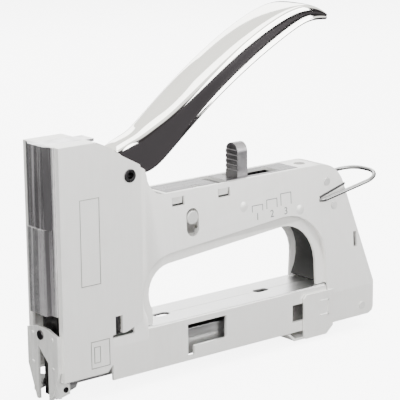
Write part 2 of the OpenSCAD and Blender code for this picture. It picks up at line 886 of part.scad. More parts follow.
// latch clip: bent strap under the tray, its arms outside the skirt
clip_x1 = body_l - 26.3;
clip_x0 = clip_x1 - clip_l;
clip_in = skirt_hw + 0.25;
clip_t = 1;
module latch_clip() {
  arm = [[clip_x0, clip_z + 1], [clip_x0 + 1, clip_z], [clip_x1 - 4, clip_z], [clip_x1, clip_z + 3.4],
    [clip_x1, cover_z - 2.4], [clip_x0 + 1.5, cover_z - 2.4], [clip_x0, cover_z - 4]];
  color("gainsboro")
    at_nose() {
      for (y = [-clip_in - clip_t, clip_in])
        upright(arm, y, y + clip_t);
      upright([[clip_x0 - 8.5, skirt_z - 0.6], [clip_x0 - 5, clip_z], [clip_x1 - 4, clip_z],
        [clip_x1 - 4, clip_z + 1], [clip_x0 - 4.6, clip_z + 1], [clip_x0 - 7.7, skirt_z - 0.2]],
        -clip_in - 0.1, clip_in + 0.1);
      bar(clip_x0 + 7, clip_x1 - 5, -6, 6, clip_z + 0.9, tray_z);
    }
}

// leaf spring under the tray that the clip slides against
module latch_spring() {
  color("gray")
    at_nose() {
      bar(clip_x0 - 24, clip_x0 - 9, -4, 4, tray_z - 0.5, tray_z);
      bar(clip_x0 - 10, clip_x0 + 1, -2, 2, tray_z - 0.5, tray_z);
    }
}

left_shell();
right_shell();
front_cover();
nose_guide();
nose_button();
striker_guide();
striker();
driver_blade();
main_spring();
spring_seat();
spring_rod();
striker_buffer();
lever();
lever_web();
lever_sides();
lever_pin();
lever_washers();
lever_spring();
left_inner();
right_inner();
grip_insert();
adjuster_lever();
adjuster_bar();
adjuster_pin();
detent_spring();
rail_frame();
rear_block();
rivets();
lock_wire();
magazine_pin();
staple_tray();
staple_core();
staple_strip();
pusher();
pusher_spring();
pusher_rod();
latch_clip();
latch_spring();
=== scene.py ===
import json
from math import atan, cos, pi, radians, sin, tan

import bmesh
import bpy
from bpy.props import FloatProperty, FloatVectorProperty, PointerProperty
from mathutils import Matrix, Vector


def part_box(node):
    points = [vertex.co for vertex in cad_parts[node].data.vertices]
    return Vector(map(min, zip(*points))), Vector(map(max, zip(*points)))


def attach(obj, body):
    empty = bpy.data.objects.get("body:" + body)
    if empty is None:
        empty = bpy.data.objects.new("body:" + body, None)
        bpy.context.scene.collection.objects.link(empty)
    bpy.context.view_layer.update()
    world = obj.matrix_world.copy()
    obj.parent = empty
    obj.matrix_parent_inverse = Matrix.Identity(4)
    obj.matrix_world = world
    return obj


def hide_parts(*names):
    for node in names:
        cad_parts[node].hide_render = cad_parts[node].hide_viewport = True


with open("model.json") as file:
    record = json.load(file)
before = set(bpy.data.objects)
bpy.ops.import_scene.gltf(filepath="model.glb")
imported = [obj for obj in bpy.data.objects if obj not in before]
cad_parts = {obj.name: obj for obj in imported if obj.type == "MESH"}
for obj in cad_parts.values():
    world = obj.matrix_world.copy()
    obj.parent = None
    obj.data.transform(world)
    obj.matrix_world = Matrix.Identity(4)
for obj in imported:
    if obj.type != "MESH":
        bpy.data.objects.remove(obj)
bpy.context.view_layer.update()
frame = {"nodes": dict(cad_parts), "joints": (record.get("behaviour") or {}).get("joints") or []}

bl_info = {
    "name": "Staple gun finishes",
    "version": (1, 0, 0),
    "blender": (4, 5, 0),
    "location": "3D View > Sidebar > Staple gun",
    "description": "Finishes the pieces of an all-steel hand staple gun",
    "category": "Object",
}

MM = 0.001
JOINTS = {joint["name"]: joint for joint in frame["joints"]}
LEVER_PIN = Vector(JOINTS["lever_hinge"]["pos_m"])
WIRE_PIVOT = Vector(JOINTS["lock_wire_hinge"]["pos_m"])
NOSE_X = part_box("left_shell")[0][0]      # front face of the shells
SKIRT_HALF = 12.2 * MM                   # half width of the body below the lean
LEAN_FROM = 20 * MM                      # height at which the sides start to lean in
LEAN = atan(3.85 / 59.4)                 # how far each side leans
RAIL_TOP = 79.4 * MM                     # top of the rail
NOSE_HALF = 12.5 * MM                    # half width of the nose


# ---------------------------------------------------------------- settings

def tint(label, note, value):
    return FloatVectorProperty(name=label, description=note, subtype="COLOR", size=3,
                               min=0.0, max=1.0, default=value)


def length(label, note, value):
    return FloatProperty(name=label, description=note, unit="LENGTH", default=value, min=0.0,
                         precision=5)


class StapleGunSizes(bpy.types.PropertyGroup):
    shell_edge: length("Shell edge", "Radius of the pressed shells' edges", 0.3 * MM)
    cover_edge: length("Cover edge", "Radius of the front cover's folds", 0.35 * MM)
    small_edge: length("Small edge", "Radius of the edges of small pieces", 0.15 * MM)
    lever_sheet: length("Lever sheet", "Thickness of the lever's sheet", 1.6 * MM)
    wire_radius: length("Wire radius", "Radius of the lock wire", 0.9 * MM)
    numeral_height: length("Numeral height", "Height of the adjuster scale's numerals", 3.4 * MM)
    groove: length("Groove width", "Width of the pressed lines on the shells", 0.32 * MM)


class StapleGunColours(bpy.types.PropertyGroup):
    shell: tint("Shells", "Satin plated sheet", (0.92, 0.91, 0.885))
    cover: tint("Front cover", "Polished cover", (0.86, 0.83, 0.86))
    # Painted shade: the rail's top gets a dark colour for the shade it shows.
    rail: tint("Rail top shade", "Dark strip on top of the rail", (0.10, 0.095, 0.10))
    pressed: tint("Pressed lines", "Shaded bottoms of the pressed lines", (0.50, 0.49, 0.47))
    lever: tint("Lever", "Mirror chrome", (0.97, 0.955, 0.91))
    guide: tint("Nose guide", "Dull steel", (0.84, 0.84, 0.82))
    inner: tint("Inner pieces", "Plain sheet steel", (0.66, 0.66, 0.66))
    dark: tint("Dark pieces", "Oiled spring steel and painted shade", (0.10, 0.098, 0.10))
    wire: tint("Lock wire", "Drawn spring wire", (0.30, 0.30, 0.30))
    adjuster: tint("Adjuster", "Tumbled cast metal", (0.33, 0.32, 0.33))
    plastic: tint("Insert", "Black moulded plastic", (0.012, 0.012, 0.012))
    rubber: tint("Buffer", "Black rubber", (0.02, 0.02, 0.02))
    scale: tint("Scale", "Filled lines and numerals", (0.16, 0.16, 0.16))
    floor: tint("Floor", "Pale studio floor", (0.93, 0.93, 0.925))


def sizes():
    return bpy.context.scene.staple_gun_sizes


def colours():
    return bpy.context.scene.staple_gun_colours


# ---------------------------------------------------------------- shader groups

def new_group(name, inputs, outputs):
    group = bpy.data.node_groups.new(name, "ShaderNodeTree")
    for label, kind, value in inputs:
        socket = group.interface.new_socket(label, in_out="INPUT", socket_type=kind)
        if value is not None:
            socket.default_value = value
    for label, kind in outputs:
        group.interface.new_socket(label, in_out="OUTPUT", socket_type=kind)
    return group, group.nodes.new("NodeGroupInput"), group.nodes.new("NodeGroupOutput")


def add_node(tree, kind, settings=(), values=()):
    node = tree.nodes.new(kind)
    for key, value in settings:
        setattr(node, key, value)
    for key, value in values:
        node.inputs[key].default_value = value
    return node


def grain_group():
    """Fine lines drawn one way, with soft clouds of handling marks over them."""
    if "Metal grain" in bpy.data.node_groups:
        return bpy.data.node_groups["Metal grain"]
    group, given, out = new_group(
        "Metal grain",
        [("Vector", "NodeSocketVector", None), ("Stretch", "NodeSocketVector", (40.0, 40.0, 900.0)),
         ("Cloud Scale", "NodeSocketFloat", 35.0), ("Seed", "NodeSocketFloat", 0.0)],
        [("Lines", "NodeSocketFloat"), ("Clouds", "NodeSocketFloat"), ("Pits", "NodeSocketFloat")])
    link = group.links.new
    stretch = add_node(group, "ShaderNodeVectorMath", [("operation", "MULTIPLY")])
    link(given.outputs["Vector"], stretch.inputs[0])
    link(given.outputs["Stretch"], stretch.inputs[1])
    lines = add_node(group, "ShaderNodeTexNoise", [("noise_dimensions", "4D")],
                     [("Scale", 1.0), ("Detail", 3.0), ("Roughness", 0.65)])
    link(stretch.outputs[0], lines.inputs["Vector"])
    link(given.outputs["Seed"], lines.inputs["W"])
    link(lines.outputs["Fac"], out.inputs["Lines"])
    clouds = add_node(group, "ShaderNodeTexNoise", [("noise_dimensions", "4D")],
                      [("Detail", 4.0), ("Roughness", 0.55), ("Distortion", 0.4)])
    link(given.outputs["Vector"], clouds.inputs["Vector"])
    link(given.outputs["Cloud Scale"], clouds.inputs["Scale"])
    link(given.outputs["Seed"], clouds.inputs["W"])
    link(clouds.outputs["Fac"], out.inputs["Clouds"])
    pits = add_node(group, "ShaderNodeTexVoronoi", [("feature", "F1")], [("Scale", 900.0)])
    link(given.outputs["Vector"], pits.inputs["Vector"])
    spots = add_node(group, "ShaderNodeMapRange", [], [("From Min", 0.05), ("From Max", 0.22)])
    link(pits.outputs["Distance"], spots.inputs["Value"])
    link(spots.outputs["Result"], out.inputs["Pits"])
    return group


def wear_highlight_and_shade_group():
    """Edges rubbed bright, partly as a painted highlight, and hollows darkened with painted shade."""
    if "Edge wear, highlight and shade" in bpy.data.node_groups:
        return bpy.data.node_groups["Edge wear, highlight and shade"]
    group, given, out = new_group(
        "Edge wear, highlight and shade",
        [("Vector", "NodeSocketVector", None), ("Amount", "NodeSocketFloat", 0.5)],
        [("Rubbed Highlight", "NodeSocketFloat"), ("Hollow Shade", "NodeSocketFloat")])
    link = group.links.new
    shape = add_node(group, "ShaderNodeNewGeometry")
    breakup = add_node(group, "ShaderNodeTexNoise", [], [("Scale", 260.0), ("Detail", 5.0)])
    link(given.outputs["Vector"], breakup.inputs["Vector"])
    # Convex edges brightened: partly real wear, partly a painted highlight.
    edge = add_node(group, "ShaderNodeMapRange", [], [("From Min", 0.51), ("From Max", 0.60)])
    link(shape.outputs["Pointiness"], edge.inputs["Value"])
    broken = add_node(group, "ShaderNodeMath", [("operation", "MULTIPLY")])
    link(edge.outputs["Result"], broken.inputs[0])
    link(breakup.outputs["Fac"], broken.inputs[1])
    amount = add_node(group, "ShaderNodeMath", [("operation", "MULTIPLY")])
    link(broken.outputs[0], amount.inputs[0])
    link(given.outputs["Amount"], amount.inputs[1])
    link(amount.outputs[0], out.inputs["Rubbed Highlight"])
    # Painted shade: hollows are darkened where shade falls.
    hollow = add_node(group, "ShaderNodeMapRange", [],
                      [("From Min", 0.49), ("From Max", 0.42), ("To Max", 0.7)])
    link(shape.outputs["Pointiness"], hollow.inputs["Value"])
    link(hollow.outputs["Result"], out.inputs["Hollow Shade"])
    return group


HOLLOW_SHADE_LEVEL = 0.55                       # brightness of the painted shade in the hollows
RUB_HIGHLIGHT_LIFT = 0.03                          # light added to a rubbed edge, partly as a painted highlight
PIT_SHARE = 0.25                         # height of the pits against that of the lines
RELIEF = 0.2 * MM                        # height of the drawn lines at full bump


def metal(name, colour, rough, lines=(40, 40, 900), spread=0.07, bump=0.04, clouds=0.08,
          metallic=1.0, wear=0.35, seed=0.0, cloud_scale=35.0, reflection_streaks=0.0, rub_highlight_gain=1.12):
    """Metal with drawn lines, handling marks, pits, rubbed edges that are partly a painted highlight,
    painted shade in the hollows and painted reflection streaks.
    """
    if name in bpy.data.materials:
        return bpy.data.materials[name]
    material = bpy.data.materials.new(name)
    material.use_nodes = True
    tree = material.node_tree
    tree.nodes.clear()
    link = tree.links.new
    out = add_node(tree, "ShaderNodeOutputMaterial")
    shader = add_node(tree, "ShaderNodeBsdfPrincipled", [], [("Metallic", metallic)])
    link(shader.outputs[0], out.inputs["Surface"])
    place = add_node(tree, "ShaderNodeTexCoord")
    grain = add_node(tree, "ShaderNodeGroup", [("node_tree", grain_group())],
                     [("Stretch", lines), ("Cloud Scale", cloud_scale), ("Seed", seed)])
    link(place.outputs["Object"], grain.inputs["Vector"])
    edges = add_node(tree, "ShaderNodeGroup", [("node_tree", wear_highlight_and_shade_group())], [("Amount", wear)])
    link(place.outputs["Object"], edges.inputs["Vector"])
    shade = add_node(tree, "ShaderNodeMix", [("data_type", "RGBA")],
                     [("A", (*[c * (1 - clouds) for c in colour], 1.0)), ("B", (*colour, 1.0))])
    link(grain.outputs["Clouds"], shade.inputs["Factor"])
    # Painted reflection: streaks of darker base colour stand in for streaky reflections.
    drawn = add_node(tree, "ShaderNodeMix", [("data_type", "RGBA")],
                     [("B", (*[c * (1 - reflection_streaks) for c in colour], 1.0))])
    reflection_bands = add_node(tree, "ShaderNodeMapRange", [], [("From Min", 0.44), ("From Max", 0.56)])
    link(grain.outputs["Lines"], reflection_bands.inputs["Value"])
    link(reflection_bands.outputs["Result"], drawn.inputs["Factor"])
    link(shade.outputs["Result"], drawn.inputs["A"])
    # Rubbed edges: partly real wear, partly a painted highlight.
    rub_and_highlight = add_node(tree, "ShaderNodeMix", [("data_type", "RGBA")],
                      [("B", (*[min(1.0, c * rub_highlight_gain + RUB_HIGHLIGHT_LIFT) for c in colour], 1.0))])
    link(edges.outputs["Rubbed Highlight"], rub_and_highlight.inputs["Factor"])
    link(drawn.outputs["Result"], rub_and_highlight.inputs["A"])
    # Painted shade: darkens the base colour in the hollows.
    hollow_shade = add_node(tree, "ShaderNodeMix", [("data_type", "RGBA")],
                     [("B", (*[c * HOLLOW_SHADE_LEVEL for c in colour], 1.0))])
    link(edges.outputs["Hollow Shade"], hollow_shade.inputs["Factor"])
    link(rub_and_highlight.outputs["Result"], hollow_shade.inputs["A"])
    link(hollow_shade.outputs["Result"], shader.inputs["Base Color"])
    gloss = add_node(tree, "ShaderNodeMapRange", [],
                     [("From Min", 0.3), ("From Max", 0.7), ("To Min", max(0.02, rough - spread)),
                      ("To Max", rough + spread)])
    link(grain.outputs["Lines"], gloss.inputs["Value"])
    link(gloss.outputs["Result"], shader.inputs["Roughness"])
    height = add_node(tree, "ShaderNodeMath", [("operation", "MULTIPLY_ADD")])
    height.inputs[1].default_value = PIT_SHARE
    link(grain.outputs["Pits"], height.inputs[0])
    link(grain.outputs["Lines"], height.inputs[2])
    relief = add_node(tree, "ShaderNodeBump", [], [("Strength", bump), ("Distance", RELIEF)])
    link(height.outputs[0], relief.inputs["Height"])
    link(relief.outputs["Normal"], shader.inputs["Normal"])
    return material


def shell_steel():
    return metal("Satin shell steel", colours().shell, 0.36, lines=(900, 60, 60), spread=0.03,
                 bump=0.03, clouds=0.04, metallic=0.45)


def cover_chrome():
    # Painted reflection and painted highlight: strong colour streaks and very bright edges stand in for
    # the cover's reflections.
    return metal("Cover chrome", colours().cover, 0.14, lines=(300, 300, 5), spread=0.05,
                 bump=0.02, clouds=0.35, metallic=0.72, wear=1.0, seed=3.0, cloud_scale=16.0,
                 reflection_streaks=0.8, rub_highlight_gain=1.6)


def lever_chrome():
    return metal("Lever chrome", colours().lever, 0.055, lines=(30, 600, 30), spread=0.02,
                 bump=0.012, clouds=0.06, wear=0.2, seed=5.0)


def guide_steel():
    return metal("Dull guide steel", colours().guide, 0.38, lines=(60, 500, 60), spread=0.1,
                 bump=0.12, clouds=0.3, metallic=0.5, wear=0.8, seed=7.0)


def inner_steel():
    return metal("Inner sheet steel", colours().inner, 0.36, lines=(30, 700, 700), spread=0.08,
                 bump=0.08, clouds=0.15, seed=9.0)


def dark_steel_and_shade():
    return metal("Oiled spring steel and painted shade", colours().dark, 0.32, lines=(300, 300, 60), spread=0.1,
                 bump=0.1, clouds=0.4, wear=0.6, seed=11.0)


def wire_steel():
    return metal("Drawn wire", colours().wire, 0.27, lines=(90, 90, 90), spread=0.08, bump=0.05,
                 clouds=0.35, seed=13.0)


def adjuster_metal():
    return metal("Tumbled adjuster metal", colours().adjuster, 0.42, lines=(250, 250, 250),
                 spread=0.1, bump=0.22, clouds=0.3, wear=0.9, seed=15.0)


def rail_shade_steel():
    return metal("Dark rail steel", colours().rail, 0.28, lines=(20, 900, 20), spread=0.08,
                 bump=0.05, clouds=0.3, wear=0.7, seed=23.0, reflection_streaks=0.25)


def pressed_line():
    return metal("Pressed line", colours().pressed, 0.4, lines=(300, 300, 300), spread=0.06,
                 bump=0.05, clouds=0.2, wear=0.3, seed=25.0)


def black_plastic():
    return metal("Black insert plastic", colours().plastic, 0.5, lines=(1500, 1500, 1500),
                 spread=0.08, bump=0.15, clouds=0.3, metallic=0.0, wear=0.1, seed=17.0)


def buffer_rubber():
    return metal("Buffer rubber", colours().rubber, 0.75, lines=(800, 800, 800), spread=0.1,
                 bump=0.2, clouds=0.4, metallic=0.0, wear=0.2, seed=19.0)


def scale_fill():
    return metal("Scale line fill", colours().scale, 0.5, lines=(300, 300, 300), spread=0.1,
                 bump=0.1, clouds=0.3, metallic=0.3, wear=0.3, seed=21.0)


# ---------------------------------------------------------------- mesh helpers

def finish(name, bm, material, body, smooth=40):
    """Writes a bmesh to an object that rides on a body."""
    bmesh.ops.recalc_face_normals(bm, faces=bm.faces)
    for face in bm.faces:
        face.smooth = True
    mesh = bpy.data.meshes.new(name)
    bm.to_mesh(mesh)
    bm.free()
    mesh.set_sharp_from_angle(angle=radians(smooth))
    mesh.materials.append(material)
    piece = bpy.data.objects.new(name, mesh)
    bpy.context.scene.collection.objects.link(piece)
    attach(piece, body)
    return piece


def round_edges(piece, width, segments=2, angle=32):
    bevel = piece.modifiers.new("Edges", "BEVEL")
    bevel.width = width
    bevel.segments = segments
    bevel.limit_method = "ANGLE"
    bevel.angle_limit = radians(angle)
    bevel.harden_normals = True
    bevel.use_clamp_overlap = True


def merged_copy(node):
    """A copy of a frame node as one closed mesh with whole flat faces."""
    bm = bmesh.new()
    bm.from_mesh(frame["nodes"][node].data)
    bmesh.ops.remove_doubles(bm, verts=bm.verts, dist=0.001 * MM)
    bmesh.ops.dissolve_degenerate(bm, edges=bm.edges, dist=0.0005 * MM)
    bmesh.ops.dissolve_limit(bm, angle_limit=radians(0.4), verts=bm.verts, edges=bm.edges)
    return bm


def refined(node, material, body, width, segments=2):
    """A frame node's own shape with its edges rounded."""
    piece = finish(node + "_finished", merged_copy(node), material, body, smooth=32)
    round_edges(piece, width, segments)
    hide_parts(node)
    return piece


def repaint(node, material):
    target = frame["nodes"][node]
    target.data.materials.clear()
    target.data.materials.append(material)


def block(bm, low, high):
    """A box between two corners."""
    low, high = Vector(low), Vector(high)
    size = high - low
    matrix = Matrix.Translation((low + high) / 2) @ Matrix.Diagonal((*size, 1))
    return bmesh.ops.create_cube(bm, size=1, matrix=matrix)["verts"]


def along_y(x, z, y):
    """Frame of a round piece whose axis is Y."""
    return Matrix.Translation((x, y, z)) @ Matrix.Rotation(pi / 2, 4, "X")


def side_frame(x, z, side=-1):
    """Frame on the leaning side panel: X along the body, Y up the panel, Z outwards."""
    y = SKIRT_HALF - max(0.0, z - LEAN_FROM) * tan(LEAN)
    out = Vector((0, side * cos(LEAN), sin(LEAN)))
    up = Vector((0, -side * sin(LEAN), cos(LEAN)))
    along = up.cross(out)
    matrix = Matrix((along, up, out)).transposed().to_4x4()
    matrix.translation = (x, side * y, z)
    return matrix


def nose(x_mm):
    """Distance behind the nose's front face, in millimetres, as a place on X."""
    return NOSE_X + x_mm * MM


def nose_frame(x, z, side):
    """Frame on the nose's upright side: X along the body, Y up, Z outwards."""
    out = Vector((0, side, 0))
    up = Vector((0, 0, 1))
    matrix = Matrix((up.cross(out), up, out)).transposed().to_4x4()
    matrix.translation = (x, side * NOSE_HALF, z)
    return matrix


def sweep(bm, points, radius, sides=16):
    """Round wire along points: a circle pulled from point to point."""
    def frame_at(i):
        back = points[max(i - 1, 0)]
        ahead = points[min(i + 1, len(points) - 1)]
        turn = (ahead - back).to_track_quat("Z", "Y")
        return Matrix.Translation(points[i]) @ turn.to_matrix().to_4x4()

    ring = bmesh.ops.create_circle(bm, cap_ends=True, radius=radius, segments=sides,
                                   matrix=frame_at(0))
    edges = list({e for v in ring["verts"] for e in v.link_edges})
    rest = frame_at(0)
    for i in range(1, len(points)):
        grown = bmesh.ops.extrude_edge_only(bm, edges=edges)["geom"]
        verts = [g for g in grown if isinstance(g, bmesh.types.BMVert)]
        edges = [g for g in grown if isinstance(g, bmesh.types.BMEdge)
                 and all(v in verts for v in g.verts)]
        step = frame_at(i)
        bmesh.ops.transform(bm, matrix=step @ rest.inverted(), verts=verts)
        rest = step
    bmesh.ops.contextual_create(bm, geom=edges)


def plate(bm, outline, y0, y1):
    """A flat piece standing in the XZ plane between y0 and y1."""
    face = bm.faces.new([bm.verts.new((x, y0, z)) for x, z in outline])
    grown = bmesh.ops.extrude_face_region(bm, geom=[face])["geom"]
    verts = [g for g in grown if isinstance(g, bmesh.types.BMVert)]
    bmesh.ops.translate(bm, vec=(0, y1 - y0, 0), verts=verts)


# ---------------------------------------------------------------- operators

class StapleGunOperator:
    bl_options = {"REGISTER", "UNDO"}

    def execute(self, context):
        self.build()
        return {"FINISHED"}


class MakeShells(StapleGunOperator, bpy.types.Operator):
    """Round the edges of both pressed shells and plate them"""
    bl_idname = "staple_gun.shells"
    bl_label = "Shells"

    def build(self):
        for node in ("left_shell", "right_shell"):
            refined(node, shell_steel(), "body", sizes().shell_edge)


class MakeCover(StapleGunOperator, bpy.types.Operator):
    """Polish the pressed front cover"""
    bl_idname = "staple_gun.cover"
    bl_label = "Front cover"

    def build(self):
        refined("front_cover", cover_chrome(), "body", sizes().cover_edge, 3)


class MakeGuide(StapleGunOperator, bpy.types.Operator):
    """Nose guide with its weld spots and button"""
    bl_idname = "staple_gun.guide"
    bl_label = "Nose guide"

    def build(self):
        refined("nose_guide", guide_steel(), "body", sizes().small_edge)
        refined("nose_button", dark_steel_and_shade(), "body", sizes().small_edge)
        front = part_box("nose_guide")[0][0]
        spot_radius, flatness = 0.9 * MM, 0.35
        bm = bmesh.new()
        for y, z in ((-7.2, 27.6), (7.2, 27.6), (-7.2, 15.2), (7.2, 15.2)):
            spot = Matrix.Translation((front, y * MM, z * MM)) @ Matrix.Diagonal((flatness, 1, 1, 1))
            bmesh.ops.create_uvsphere(bm, u_segments=16, v_segments=10, radius=spot_radius,
                                      matrix=spot)
        finish("guide_weld_spots", bm, guide_steel(), "body")


# lever stations: distance from the pin along X and Z, half width, wall depth, slope in degrees
LEVER_STATIONS = [
    (-1.6, 9.4, 5.7, 8.5, 22), (4.0, 12.2, 5.8, 14.5, 17), (9.2, 13.9, 6.0, 16.5, 16),
    (13.2, 15.6, 6.6, 16.2, 21), (17.5, 18.3, 7.7, 14.4, 29), (23.5, 22.0, 8.9, 12.4, 33),
    (32.5, 28.4, 9.7, 11.2, 35.5), (42.6, 35.6, 10.0, 10.8, 34), (55.1, 43.9, 10.0, 11.0, 32),
    (67.6, 51.3, 10.0, 11.0, 28), (80.7, 57.4, 10.0, 10.4, 22), (90.1, 60.4, 10.0, 9.2, 12),
    (98.3, 61.3, 10.0, 7.6, -3), (105.1, 59.5, 9.9, 5.2, -21), (109.6, 56.9, 9.6, 2.9, -32),
    (112.0, 55.2, 9.2, 1.3, -36),
]
# lever section, as shares of the half width and of the wall's depth
LEVER_SECTION = [
    (1.06, -1.0), (1.0, -0.93), (0.995, -0.6), (1.0, -0.25), (0.96, -0.09), (0.84, -0.02),
    (0.45, 0.012), (0.0, 0.02),
]


class MakeLever(StapleGunOperator, bpy.types.Operator):
    """Bowed hand lever pulled from one folded section, with its hub and lifting arms"""
    bl_idname = "staple_gun.lever"
    bl_label = "Lever"

    def station(self, i):
        dx, dz, half, depth, slope = LEVER_STATIONS[i]
        place = LEVER_PIN + Vector((dx, 0, dz)) * MM
        return (Matrix.Translation(place) @ Matrix.Rotation(-radians(slope), 4, "Y")
                @ Matrix.Diagonal((1, half * MM, depth * MM, 1)))

    def build(self):
        bm = bmesh.new()
        right = [(y, z) for y, z in LEVER_SECTION]
        left = [(-y, z) for y, z in reversed(LEVER_SECTION[:-1])]
        chain = [bm.verts.new(self.station(0) @ Vector((0, y, z))) for y, z in right + left]
        edges = [bm.edges.new(pair) for pair in zip(chain, chain[1:])]
        for i in range(1, len(LEVER_STATIONS)):
            grown = bmesh.ops.extrude_edge_only(bm, edges=edges)["geom"]
            verts = [g for g in grown if isinstance(g, bmesh.types.BMVert)]
            edges = [g for g in grown if isinstance(g, bmesh.types.BMEdge)
                     and all(v in verts for v in g.verts)]
            move = self.station(i) @ self.station(i - 1).inverted()
            bmesh.ops.transform(bm, matrix=move, verts=verts)
        piece = finish("lever_handle", bm, lever_chrome(), "lever", smooth=80)
        wall = piece.modifiers.new("Sheet", "SOLIDIFY")
        wall.thickness = sizes().lever_sheet
        wall.offset = -1
        smooth = piece.modifiers.new("Smooth", "SUBSURF")
        smooth.levels = 2
        smooth.render_levels = 2
        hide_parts("lever", "lever_sides")
        self.hub()

    def hub(self):
        bm = bmesh.new()
        x, z = LEVER_PIN.x, LEVER_PIN.z
        hub_radius, hub_depth, hub_middle = 3.8 * MM, 6.1 * MM, 7.05 * MM
        arm_inside, arm_outside = 8.5 * MM, 10.1 * MM
        for side in (-1, 1):
            bmesh.ops.create_cone(bm, cap_ends=True, segments=40, radius1=hub_radius,
                                  radius2=hub_radius, depth=hub_depth,
                                  matrix=along_y(x, z, side * hub_middle))
            arm = [(x, z - 3.6 * MM), (x, z + 2.4 * MM), (nose(5), z - 8.8 * MM),
                   (nose(5), z - 11 * MM), (nose(10), z - 11.2 * MM)]
            plate(bm, arm, side * arm_inside, side * arm_outside)
        piece = finish("lever_hub", bm, dark_steel_and_shade(), "lever")
        round_edges(piece, sizes().small_edge)
        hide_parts("lever_web")


class MakePin(StapleGunOperator, bpy.types.Operator):
    """Tubular lever pin and washers"""
    bl_idname = "staple_gun.lever_pin"
    bl_label = "Lever pin"

    def build(self):
        refined("lever_pin", dark_steel_and_shade(), "body", sizes().small_edge, 3)
        repaint("lever_washers", dark_steel_and_shade())


class MakeAdjuster(StapleGunOperator, bpy.types.Operator):
    """Ridged adjuster, its bar, pin and spring"""
    bl_idname = "staple_gun.adjuster"
    bl_label = "Adjuster"

    def build(self):
        refined("adjuster_lever", adjuster_metal(), "adjuster", 0.4 * MM, 3)
        refined("adjuster_pin", guide_steel(), "adjuster_pin", 0.3 * MM, 3)
        repaint("adjuster_bar", inner_steel())
        repaint("detent_spring", dark_steel_and_shade())
        repaint("rail_frame", dark_steel_and_shade())


EM_OVER_NUMERAL = 1.35                   # font size against the height of a numeral
# staple outlines: x behind the nose's front, foot's height and outline's height
SCALE_STAPLES = [(105, 64.2, 2.9), (113.3, 64.4, 4.1), (121.5, 64.6, 5.4)]
STAPLE_WIDTH = 6.2 * MM
# numerals: the digit and x behind the nose's front
SCALE_NUMERALS = [("1", 104.9), ("2", 113.2), ("3", 121.2)]
NUMERAL_FOOT = 60.4 * MM


class MakeScale(StapleGunOperator, bpy.types.Operator):
    """Pressed marks on the side panels: staple outlines, numerals 1 to 3 and round press marks"""
    bl_idname = "staple_gun.scale"
    bl_label = "Scale and press marks"

    def numeral(self, digit, matrix):
        curve = bpy.data.curves.new("numeral", "FONT")
        curve.body = digit
        curve.size = sizes().numeral_height * EM_OVER_NUMERAL
        curve.align_x = "CENTER"
        curve.extrude = 0.04 * MM
        holder = bpy.data.objects.new("numeral", curve)
        bpy.context.scene.collection.objects.link(holder)
        bpy.context.view_layer.update()
        mesh = bpy.data.meshes.new_from_object(holder)
        bpy.data.objects.remove(holder)
        mesh.transform(matrix)
        return mesh

    def staple(self, bm, matrix, width, height):
        """Outline of a staple: two legs and a crown."""
        line = sizes().groove
        for x0, x1, z0, z1 in ((-width / 2, -width / 2 + line, 0, height),
                               (width / 2 - line, width / 2, 0, height),
                               (-width / 2, width / 2, height - line, height)):
            verts = block(bm, (x0, z0, -0.02 * MM), (x1, z1, 0.06 * MM))
            bmesh.ops.transform(bm, matrix=matrix, verts=verts)

    def build(self):
        bm = bmesh.new()
        for side in (-1, 1):
            for x, foot, height in SCALE_STAPLES:
                self.staple(bm, side_frame(nose(x), foot * MM, side), STAPLE_WIDTH, height * MM)
            for digit, x in SCALE_NUMERALS:
                mesh = self.numeral(digit, side_frame(nose(x), NUMERAL_FOOT, side))
                bm.from_mesh(mesh)
                bpy.data.meshes.remove(mesh)
        bmesh.ops.remove_doubles(bm, verts=bm.verts, dist=0.001 * MM)
        finish("adjuster_scale", bm, scale_fill(), "body")
        self.press_marks()

    def press_marks(self):
        """Shallow round press marks: a ring with a dished middle."""
        bm = bmesh.new()
        for side in (-1, 1):
            for x, z in ((97.4, 67.4), (129.5, 61.1)):
                matrix = side_frame(nose(x), z * MM, side)
                for r0, r1, h in ((2.35, 2.05, 0.12), (1.75, 1.55, 0.1)):
                    bmesh.ops.create_cone(bm, cap_ends=True, segments=40, radius1=r0 * MM,
                                          radius2=r1 * MM, depth=h * MM,
                                          matrix=matrix @ Matrix.Translation((0, 0, 0.02 * MM)))
        piece = finish("press_marks", bm, shell_steel(), "body")
        round_edges(piece, 0.05 * MM)


class MakeTabs(StapleGunOperator, bpy.types.Operator):
    """Tabs bent inwards from the windows below the rail"""
    bl_idname = "staple_gun.tabs"
    bl_label = "Bent tabs"

    def build(self):
        tab_z, tab_turn = 75.4 * MM, radians(9)
        tab_low = (-2.7 * MM, -1.3 * MM, -1.5 * MM)
        tab_high = (2.7 * MM, 1.75 * MM, -0.7 * MM)
        bm = bmesh.new()
        for side in (-1, 1):
            for x in (62.1, 86.9):
                matrix = side_frame(nose(x), tab_z, side) @ Matrix.Rotation(tab_turn, 4, "X")
                verts = block(bm, tab_low, tab_high)
                bmesh.ops.transform(bm, matrix=matrix, verts=verts)
        piece = finish("bent_tabs", bm, shell_steel(), "body")
        round_edges(piece, 0.2 * MM)


# patches of the rail's painted shade strip that leave its slots open: x from and to behind the nose's
# front, y from and to
RAIL_PATCHES = [
    (57.5, 71.8, -6.4, 6.4), (76.2, 83.8, -6.4, 6.4), (71.8, 76.2, -3.3, 6.4), (90.2, 96.1, -6.4, 6.4),
    (96.1, 121, 4.5, 6.4), (96.1, 121, -6.4, -4.5), (121, 131, -6.4, 6.4),
]


